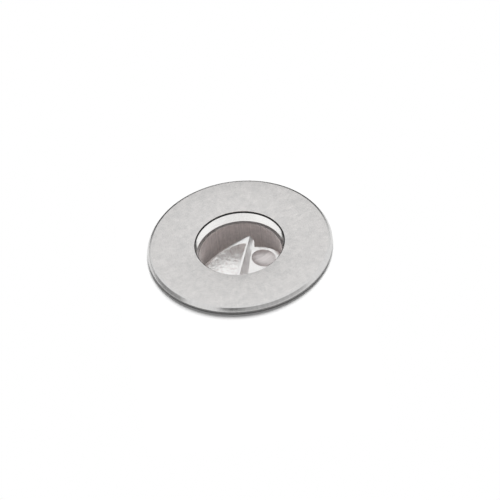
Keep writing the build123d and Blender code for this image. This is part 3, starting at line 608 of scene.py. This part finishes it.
# Slots whose finish has a function of its own
OWN_FINISHES = {
    "ring_steel": lambda: ring_face_steel(bpy.context.scene.ground_light_ring.steel),
    "clear_glass": window_pane,
    "reflector_finish": reflector_metal,
    "shade_finish": shade_metal,
}
made_finishes = {}


def finish_of(slot):
    """The material of a record slot, made once."""
    if slot not in made_finishes:
        if slot in FINISHES:
            made_finishes[slot] = plain_finish(slot, *FINISHES[slot])
        elif slot in OWN_FINISHES:
            made_finishes[slot] = OWN_FINISHES[slot]()
        else:
            raise RuntimeError(f"no finish for the slot {slot}")
    return made_finishes[slot]


def slot_of(node):
    """The record's material slot of a CAD node."""
    for part in frame["record"]["subparts"]:
        if part["node"] == node:
            return part["material_slot"]
    raise RuntimeError(f"the record has no node {node}")


def settle(piece, body, node):
    """Puts a piece on its body in place of a CAD node, which it hides."""
    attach(piece, body)
    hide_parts(node)


# Operators


class GROUNDLIGHT_OT_finishes(bpy.types.Operator):
    """Give every CAD node the finish of its slot"""

    bl_idname = "groundlight.finishes"
    bl_label = "Finishes"

    def execute(self, context):
        for name, obj in frame["nodes"].items():
            obj.data.materials.clear()
            obj.data.materials.append(finish_of(slot_of(name)))
        return {"FINISHED"}


class GROUNDLIGHT_OT_ring(bpy.types.Operator):
    """Turn the stainless trim ring with its neck"""

    bl_idname = "groundlight.ring"
    bl_label = "Trim ring"

    bore = 28.75 * MM
    rebate = 3.8 * MM
    steps = 256

    # Turning grooves in the neck's bore, as shares of their pitch
    grooves = 12
    groove_run_share = 1.03
    groove_rise_share = 0.96

    mouth_round = 0.12 * MM
    face_round = 0.1 * MM
    chamfer_round = 0.2 * MM
    side_round = 0.3 * MM
    foot_round = 0.2 * MM

    # Corners of the convex bevel, as shares of its width and height
    face_end_share = 1.25
    chamfer_width_share = 0.67
    chamfer_height_share = 0.11
    side_height_share = 0.95

    # How far past a size a band of the ring may reach and still take its finish
    mouth_margin = 0.2 * MM
    rebate_margin = 0.01 * MM
    side_margin = 0.3 * MM
    side_top_margin = 0.05 * MM
    edge_share = 1.3

    # Painted light: the bore's steel is near white, far lighter than the ring's steel, for the bright
    # reflections in the bore
    neck_painted_light_colour = (0.97, 0.93, 0.915)
    face, edge, neck, side = range(4)

    def execute(self, context):
        sizes = context.scene.ground_light_ring
        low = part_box("trim_ring")[0].z
        pitch = (self.rebate - low) / self.grooves
        teeth = []
        for k in range(self.grooves):
            foot = low + k * pitch
            top = foot + self.groove_rise_share * pitch
            teeth.append((self.bore, foot, 0))
            teeth.append((self.bore + self.groove_run_share * pitch, top, 0))
        face_end = sizes.radius - self.face_end_share * sizes.bevel_width
        chamfer_end = sizes.radius - self.chamfer_width_share * sizes.bevel_width
        chamfer_level = sizes.thickness - self.chamfer_height_share * sizes.bevel_height
        side_level = sizes.thickness - self.side_height_share * sizes.bevel_height
        profile = rounded(
            [
                *teeth,
                (self.bore, self.rebate, 0),
                (sizes.aperture, self.rebate, 0),
                (sizes.aperture, sizes.thickness, self.mouth_round),
                (face_end, sizes.thickness, self.face_round),
                (chamfer_end, chamfer_level, self.chamfer_round),
                (sizes.radius, side_level, self.side_round),
                (sizes.radius, 0, self.foot_round),
                (NECK_RADIUS, 0, 0),
                (NECK_RADIUS, low, self.foot_round),
            ]
        )

        def finish_index(a, b):
            """Which finish the band between two points of the profile takes."""
            inner, outer = sorted((a[0], b[0]))
            top = max(a[1], b[1])
            if outer < sizes.aperture + self.mouth_margin:
                return self.neck
            if top < self.rebate + self.rebate_margin and outer < self.bore + 2 * pitch:
                return self.neck
            side_top = sizes.thickness - sizes.bevel_height + self.side_top_margin
            if inner > sizes.radius - self.side_margin and top < side_top:
                return self.side
            if inner > sizes.radius - self.edge_share * sizes.bevel_width:
                return self.edge
            return self.face

        steel = tuple(sizes.steel)
        finishes = [
            finish_of("ring_steel"),
            ring_edge_steel(steel),
            neck_steel(self.neck_painted_light_colour),
            ring_side_steel(steel),
        ]
        ring = turned("ring_turned", profile, finishes, self.steps, finish_index)
        settle(ring, "light_unit", "trim_ring")
        return {"FINISHED"}


class GROUNDLIGHT_OT_window(bpy.types.Operator):
    """Make the window with its bead and gasket"""

    bl_idname = "groundlight.window"
    bl_label = "Window"

    glass_radius = 28.6 * MM
    glass_arris = 0.35 * MM
    arris_round = 0.1 * MM
    level_margin = 0.01 * MM
    bead_sag = 0.3 * MM
    bead_steps = 8
    gasket_bore = 27.4 * MM
    gasket_round = 0.2 * MM

    def execute(self, context):
        low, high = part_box("window_glass")
        self.glass(low.z, high.z)
        self.bead(context.scene.ground_light_ring.aperture, high.z - self.glass_arris)
        self.gasket()
        return {"FINISHED"}

    def glass(self, low, high):
        radius, arris, corner = self.glass_radius, self.glass_arris, self.arris_round
        profile = rounded(
            [
                (0, low, 0),
                (radius - arris, low, corner),
                (radius, low + arris, corner),
                (radius, high - arris, corner),
                (radius - arris, high, corner),
                (0, high, 0),
            ]
        )

        def finish_index(a, b):
            """The pane's finish on its two faces, the clear one round its side."""
            return 1 if abs(a[1] - b[1]) > self.level_margin else 0

        finishes = [finish_of("clear_glass"), clear_side()]
        glass = turned("window_disc", profile, finishes, material_of=finish_index)
        settle(glass, "light_unit", "window_glass")

    def bead(self, outer, glass_edge):
        """Fills the gap between ring and glass, with a top that sags."""
        low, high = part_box("window_bead")
        arc = []
        for k in range(self.bead_steps + 1):
            share = k / self.bead_steps
            radius = outer + (self.glass_radius - outer) * share
            sag = self.bead_sag * math.sin(math.pi * share)
            arc.append((radius, high.z + (glass_edge - high.z) * share - sag))
        profile = [(self.glass_radius, low.z), (outer, low.z), *arc]
        bead = turned("bead_line", profile, [finish_of("black_silicone")])
        settle(bead, "light_unit", "window_bead")

    def gasket(self):
        low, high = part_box("window_gasket")
        profile = rounded(
            [
                (self.gasket_bore, low.z, self.gasket_round),
                (self.gasket_bore, high.z, self.gasket_round),
                (NECK_RADIUS, high.z, self.gasket_round),
                (NECK_RADIUS, low.z, self.gasket_round),
            ]
        )
        gasket = turned("gasket_flat", profile, [finish_of("grey_silicone")])
        settle(gasket, "light_unit", "window_gasket")


class GROUNDLIGHT_OT_cup(bpy.types.Operator):
    """Make the shade's tube round the reflector"""

    bl_idname = "groundlight.cup"
    bl_label = "Shade cup"

    outer = 27.1 * MM
    inner = 26.6 * MM
    lip_round = 0.15 * MM

    def execute(self, context):
        low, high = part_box("shade_cup")
        profile = rounded(
            [
                (self.inner, low.z, 0),
                (self.inner, high.z, self.lip_round),
                (self.outer, high.z, self.lip_round),
                (self.outer, low.z, 0),
            ]
        )
        cup = turned("cup_tube", profile, [finish_of("shade_finish")])
        settle(cup, "optic", "shade_cup")
        return {"FINISHED"}


class GROUNDLIGHT_OT_reflector(bpy.types.Operator):
    """Cut the peaked reflector with its crest, its step and its two bowls"""

    bl_idname = "groundlight.reflector"
    bl_label = "Reflector"

    # Millimetres from here on, as the reflector lies before it is turned to its place
    turn = math.radians(-18)
    top = -6.5

    # Outline seen from above
    peak = (1.84, 18.15)
    peak_round = 1.5
    shoulder = (4.5, 17.0)
    shoulder_round = 1.2
    notch = (5.6, 12.7)
    notch_round = 0.5
    right_middle = (14.6, 13.7)
    right_end = (23.59, 11.6)
    front_middle = (0, -26.3)
    left_end = (-26.06, -3.5)
    left_middle = (-12.89, 10.2)
    left_steps = 22
    right_steps = 18
    front_steps = 110

    # Crest, which falls from the peak to the front, and the lands beside the large bowl
    crest_end = (-0.6, -26.3)
    crest_fall = 14.68
    crest_land = 0.9
    crest_end_land = 2.4
    outline_land = 0.9
    peak_clear = 1.2
    flat_radius = 1.2
    flat_drop = 0.1

    # Step right of the crest: its flank at the peak, what it gains towards the front, and its floor
    flank_width = 1.9
    flank_widening = 4.8
    flank_drop = 1.6
    flank_deepening = 3.4
    floor_slope = 0.1
    step_reach = 52.6
    step_runs = 24

    large_centre = (-2.1, -15.49, 2.64)
    large_radius = 30.15
    small_centre = (14.0, 4.55, -8.4)
    small_radius = 8.3
    small_stretch = (1.36, 1.02, 1)

    wells = ((-11.05, -7.89), (11.05, -8.42))
    well_foot_radius = 3.2
    well_top_radius = 4.4
    well_height = 25.1
    well_steps = 64

    edge_round = 0.3
    edge_angle = math.radians(32)
    edge_steps = 2

    # Cutters run on past what they cut
    overrun = 0.1
    end_overrun = 1.0
    cover = 2.0
    bowl_side_drop = 3.0
    cutter_half_height = 40.0
    far = 60.0

    land, bowl, flank, scoop, step_floor = range(5)

    def execute(self, context):
        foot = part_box("reflector")[0].z / MM
        bm = bmesh.new()
        prism(bm, self.outline(), foot, self.top)
        finishes = [
            finish_of("reflector_finish"),
            bowl_metal(),
            # Painted light and shade: the flank is a lighter copy of the reflector's metal and the scoop
            # a darker copy; the step keeps about the metal's own colour
            streaked_metal("flank_metal", (1.0, 0.96, 0.95), direction=0, scale=1300.0, share=0.2),
            streaked_metal("scoop_metal", (0.68, 0.63, 0.625), direction=70, scale=700.0, share=0.35),
            streaked_metal("step_metal", (0.95, 0.905, 0.895), direction=0, scale=800.0, share=0.1),
        ]
        shape = new_object("reflector_cut", bm, finishes)
        carve(shape, self.cone())
        carve(shape, self.large_bowl())
        carve(shape, self.step())
        carve(shape, self.small_bowl())
        for place in self.wells:
            carve(shape, self.well(place, foot))
        self.soften(shape)
        shape.data.transform(Matrix.Rotation(self.turn, 4, "Z") @ Matrix.Scale(MM, 4))
        settle(shape, "optic", "reflector")
        return {"FINISHED"}

    def left_arc(self):
        return arc_through(self.left_end, self.left_middle, self.peak, self.left_steps)

    def outline(self):
        left = self.left_arc()
        right = arc_through(self.notch, self.right_middle, self.right_end, self.right_steps)
        front = arc_through(self.right_end, self.front_middle, self.left_end, self.front_steps)
        corners = [(x, y, 0) for x, y in left[:-1]]
        corners.append((*self.peak, self.peak_round))
        corners.append((*self.shoulder, self.shoulder_round))
        corners.append((*right[0], self.notch_round))
        corners += [(x, y, 0) for x, y in right[1:-1]]
        corners += [(x, y, 0) for x, y in front[:-1]]
        return rounded(corners)

    def cone(self):
        """What lies over the slope that falls away from the peak."""
        run = math.hypot(self.crest_end[0] - self.peak[0], self.crest_end[1] - self.peak[1])
        slope = self.crest_fall / run
        edge = self.top - self.flat_drop
        profile = [
            (0, edge),
            (self.flat_radius, edge),
            (self.far, edge - slope * (self.far - self.flat_radius)),
            (self.far, edge + self.cover),
            (0, edge + self.cover),
        ]
        bm = bmesh.new()
        lathe(bm, profile)
        bmesh.ops.translate(bm, verts=bm.verts, vec=(*self.peak, 0))
        return bm

    def large_bowl(self):
        """The ball left of the crest, cut off along the lands."""
        bm = bmesh.new()
        ball(bm, self.large_centre, self.large_radius, self.bowl)
        piece = new_object("bowl_cut", bm, [None] * 4)
        left = self.left_arc()
        inside = []
        for before, after in zip(left, left[1:]):
            along = (Vector(after) - Vector(before)).normalized()
            inside.append(Vector(after) + self.outline_land * Vector((along.y, -along.x)))
        inside = [
            (x, y) for x, y in reversed(inside) if x < self.peak[0] - self.peak_clear and y < self.peak[1]
        ]
        limit = [
            (self.peak[0] - self.crest_land, self.peak[1]),
            *inside,
            (-self.far, inside[-1][1] - self.bowl_side_drop),
            (-self.far, self.crest_end[1]),
            (self.crest_end[0] - self.crest_end_land, self.crest_end[1]),
        ]
        side = bmesh.new()
        prism(side, limit, -self.cutter_half_height, self.cutter_half_height)
        carve(piece, side, "INTERSECT")
        bm = bmesh.new()
        bm.from_mesh(piece.data)
        bpy.data.objects.remove(piece)
        return bm

    def small_bowl(self):
        """The stretched ball right of the crest."""
        bm = bmesh.new()
        ball(bm, (0, 0, 0), self.small_radius, self.scoop)
        bmesh.ops.scale(bm, verts=bm.verts, vec=self.small_stretch)
        bmesh.ops.translate(bm, verts=bm.verts, vec=self.small_centre)
        return bm

    def well(self, place, foot):
        """The tapered hole over a light source."""
        low = foot - self.overrun
        high = foot + self.well_height
        profile = [(0, low), (self.well_foot_radius, low), (self.well_top_radius, high), (0, high)]
        bm = bmesh.new()
        lathe(bm, profile, self.well_steps, lambda a, b: self.flank)
        bmesh.ops.translate(bm, verts=bm.verts, vec=(*place, 0))
        return bm

    def step(self):
        """The lowered side right of the crest: end sections joined by smooth runs."""
        bm = bmesh.new()
        rings = []
        lid = self.top + self.end_overrun
        start = self.peak[1] + self.end_overrun
        length = self.crest_end[1] - self.peak[1] - 2 * self.end_overrun
        for k in range(self.step_runs + 1):
            share = k / self.step_runs
            x = self.peak[0] + (self.crest_end[0] - self.peak[0]) * share
            y = start + length * share
            crest = self.top - self.crest_fall * share
            foot_x = x + self.flank_width + self.flank_widening * share
            foot_z = crest - self.flank_drop - self.flank_deepening * share
            section = (
                (x, lid),
                (x, crest),
                (foot_x, foot_z),
                (self.step_reach, foot_z - self.floor_slope * (self.step_reach - foot_x)),
                (self.step_reach, lid),
            )
            rings.append([bm.verts.new((u, y, z)) for u, z in section])
        finish_index = {1: self.flank, 2: self.step_floor}
        for before, after in zip(rings, rings[1:]):
            for k in range(len(before)):
                n = (k + 1) % len(before)
                face = bm.faces.new((before[k], before[n], after[n], after[k]))
                face.material_index = finish_index.get(k, self.land)
        bm.faces.new(rings[0])
        bm.faces.new(list(reversed(rings[-1])))
        return bm

    def soften(self, shape):
        """Takes the sharpness off the edges and shades the faces smooth."""
        bevel = shape.modifiers.new("round", "BEVEL")
        bevel.width = self.edge_round
        bevel.segments = self.edge_steps
        bevel.limit_method = "ANGLE"
        bevel.angle_limit = self.edge_angle
        bevel.use_clamp_overlap = True
        mesh = bpy.data.meshes.new_from_object(shape.evaluated_get(bpy.context.evaluated_depsgraph_get()))
        shape.modifiers.clear()
        shape.data = mesh
        bm = bmesh.new()
        bm.from_mesh(mesh)
        bmesh.ops.triangulate(bm, faces=[f for f in bm.faces if len(f.verts) > 4])
        shade_smooth(bm)
        bm.to_mesh(mesh)
        bm.free()


class GROUNDLIGHT_OT_stage(bpy.types.Operator):
    """Set up the floor, the lights, the background and the camera"""

    bl_idname = "groundlight.stage"
    bl_label = "Stage"

    ground_colour = (0.98, 0.98, 0.98)
    ground_hole = 56.5 * MM
    ground_half = 78 * MM
    ground_front = -170 * MM
    ground_steps = 96

    lamp_place = (0.18, 1.02, 1.1)
    lamp_angle = math.radians(26)
    lamp_energy = 3.5

    # Name, azimuth, elevation, width and height in degrees, and grey level
    cards = (
        ("card_front", -107.0, 27.0, 24.0, 26.0, 0.08),
        ("card_right", -58.0, 22.0, 74.0, 28.0, 0.5),
        ("card_far_left", 128.0, 2.0, 50.0, 22.0, 0.35),
        ("card_left", 178.0, 3.0, 46.0, 20.0, 0.3),
        ("card_back", 90.0, 12.0, 120.0, 12.0, 0.04),
    )
    card_distance = 1.2

    # The photograph's frame in pixels, and how far the object lies off its middle
    frame_width = 500
    shift_right = 10.5
    shift_down = -7.5
    sensor_width_mm = 36.0
    clip_start = 0.01
    clip_end = 50.0
    target = (0, 0, 5 * MM)

    def execute(self, context):
        scene = context.scene
        sizes = scene.ground_light_stage
        scene.view_settings.view_transform = "Standard"
        self.background(scene, sizes.level)
        self.floor()
        self.lamp(scene)
        self.set_cards()
        self.camera(scene, sizes)
        return {"FINISHED"}

    def background(self, scene, level):
        """White for the camera, gloss and glass, and a plain even light for the rest."""
        world = bpy.data.worlds.new("studio")
        scene.world = world
        world.use_nodes = True
        tree = world.node_tree
        tree.nodes.clear()
        output = tree.nodes.new("ShaderNodeOutputWorld")
        rays = tree.nodes.new("ShaderNodeLightPath")
        seen = rays.outputs["Is Camera Ray"]
        for name in ("Is Glossy Ray", "Is Transmission Ray"):
            both = tree.nodes.new("ShaderNodeMath")
            both.operation = "MAXIMUM"
            tree.links.new(seen, both.inputs[0])
            tree.links.new(rays.outputs[name], both.inputs[1])
            seen = both.outputs[0]
        light = tree.nodes.new("ShaderNodeBackground")
        light.inputs["Strength"].default_value = level
        white = tree.nodes.new("ShaderNodeBackground")
        white.inputs["Color"].default_value = (1, 1, 1, 1)
        white.inputs["Strength"].default_value = 1.0
        mixed = tree.nodes.new("ShaderNodeMixShader")
        tree.links.new(seen, mixed.inputs[0])
        tree.links.new(light.outputs[0], mixed.inputs[1])
        tree.links.new(white.outputs[0], mixed.inputs[2])
        tree.links.new(mixed.outputs[0], output.inputs[0])

    def floor(self):
        """Pale ground round the light, open where the sleeve stands."""
        s = Shader("pale_ground")
        matt = s.add("ShaderNodeBsdfDiffuse", Color=(*self.ground_colour, 1.0))
        s.put(s.output.inputs[0], matt.outputs[0])
        bm = bmesh.new()
        inner = []
        outer = []
        for k in range(self.ground_steps):
            angle = FULL_TURN * k / self.ground_steps
            x, y = math.cos(angle), math.sin(angle)
            inner.append(bm.verts.new((self.ground_hole * x, self.ground_hole * y, 0)))
            reach = self.ground_half / max(abs(x), abs(y))
            on_front = y < 0 and abs(y) >= abs(x)
            outer.append(bm.verts.new((reach * x, self.ground_front if on_front else reach * y, 0)))
        for k in range(self.ground_steps):
            after = (k + 1) % self.ground_steps
            bm.faces.new((inner[k], outer[k], outer[after], inner[after]))
        new_object("ground", bm, [s.material])

    def lamp(self, scene):
        """Broad light from behind, so that the ring's shadow falls to the front."""
        data = bpy.data.lights.new("lamp_back", "SUN")
        data.angle = self.lamp_angle
        data.energy = self.lamp_energy
        lamp = bpy.data.objects.new("lamp_back", data)
        place = Vector(self.lamp_place)
        lamp.location = place
        lamp.rotation_euler = (-place).to_track_quat("-Z", "Y").to_euler()
        lamp.visible_glossy = False
        scene.collection.objects.link(lamp)

    def set_cards(self):
        """Dark cards that only the metal's reflections see."""
        for name, azimuth, elevation, width, height, level in self.cards:
            s = Shader(name)
            grey = s.add("ShaderNodeEmission", Color=(level, level, level, 1.0), Strength=1.0)
            s.put(s.output.inputs[0], grey.outputs[0])
            bm = bmesh.new()
            corners = []
            for u, v in ((-0.5, -0.5), (0.5, -0.5), (0.5, 0.5), (-0.5, 0.5)):
                a = math.radians(azimuth + u * width)
                e = math.radians(elevation + v * height)
                out = self.card_distance * math.cos(e)
                place = (out * math.cos(a), out * math.sin(a), self.card_distance * math.sin(e))
                corners.append(bm.verts.new(place))
            bm.faces.new(corners)
            card = new_object(name, bm, [s.material])
            card.visible_camera = False
            card.visible_diffuse = False
            card.visible_transmission = False
            card.visible_shadow = False

    def camera(self, scene, sizes):
        data = bpy.data.cameras.new("camera")
        data.lens = sizes.lens
        data.sensor_width = self.sensor_width_mm
        data.clip_start = self.clip_start
        data.clip_end = self.clip_end
        data.shift_x = self.shift_right / self.frame_width
        data.shift_y = self.shift_down / self.frame_width
        camera = bpy.data.objects.new("camera", data)
        back = Vector((0, -math.cos(sizes.elevation), math.sin(sizes.elevation)))
        look = (-back).to_track_quat("-Z", "Y").to_matrix().to_4x4()
        roll = Matrix.Rotation(-sizes.roll, 4, "Z")
        place = Vector(self.target) + back * sizes.distance
        camera.matrix_world = Matrix.Translation(place) @ look @ roll
        scene.collection.objects.link(camera)
        scene.camera = camera


OPERATORS = (
    GROUNDLIGHT_OT_finishes,
    GROUNDLIGHT_OT_ring,
    GROUNDLIGHT_OT_window,
    GROUNDLIGHT_OT_cup,
    GROUNDLIGHT_OT_reflector,
    GROUNDLIGHT_OT_stage,
)


class GROUNDLIGHT_PT_panel(bpy.types.Panel):
    """Sizes and pieces of the ground light"""

    bl_idname = "GROUNDLIGHT_PT_panel"
    bl_label = "Ground light"
    bl_space_type = "VIEW_3D"
    bl_region_type = "UI"
    bl_category = "Ground light"

    def draw(self, context):
        for group in (context.scene.ground_light_ring, context.scene.ground_light_stage):
            for name in group.bl_rna.properties.keys():
                if name not in ("rna_type", "name"):
                    self.layout.prop(group, name)
        for operator in OPERATORS:
            self.layout.operator(operator.bl_idname)


CLASSES = (RingSizes, StageSizes, *OPERATORS, GROUNDLIGHT_PT_panel)


def register():
    for cls in CLASSES:
        bpy.utils.register_class(cls)
    bpy.types.Scene.ground_light_ring = PointerProperty(type=RingSizes)
    bpy.types.Scene.ground_light_stage = PointerProperty(type=StageSizes)


def unregister():
    del bpy.types.Scene.ground_light_stage
    del bpy.types.Scene.ground_light_ring
    for cls in reversed(CLASSES):
        bpy.utils.unregister_class(cls)


def main():
    register()
    for operator in OPERATORS:
        group, name = operator.bl_idname.split(".")
        getattr(getattr(bpy.ops, group), name)()


if __name__ == "__main__":
    main()
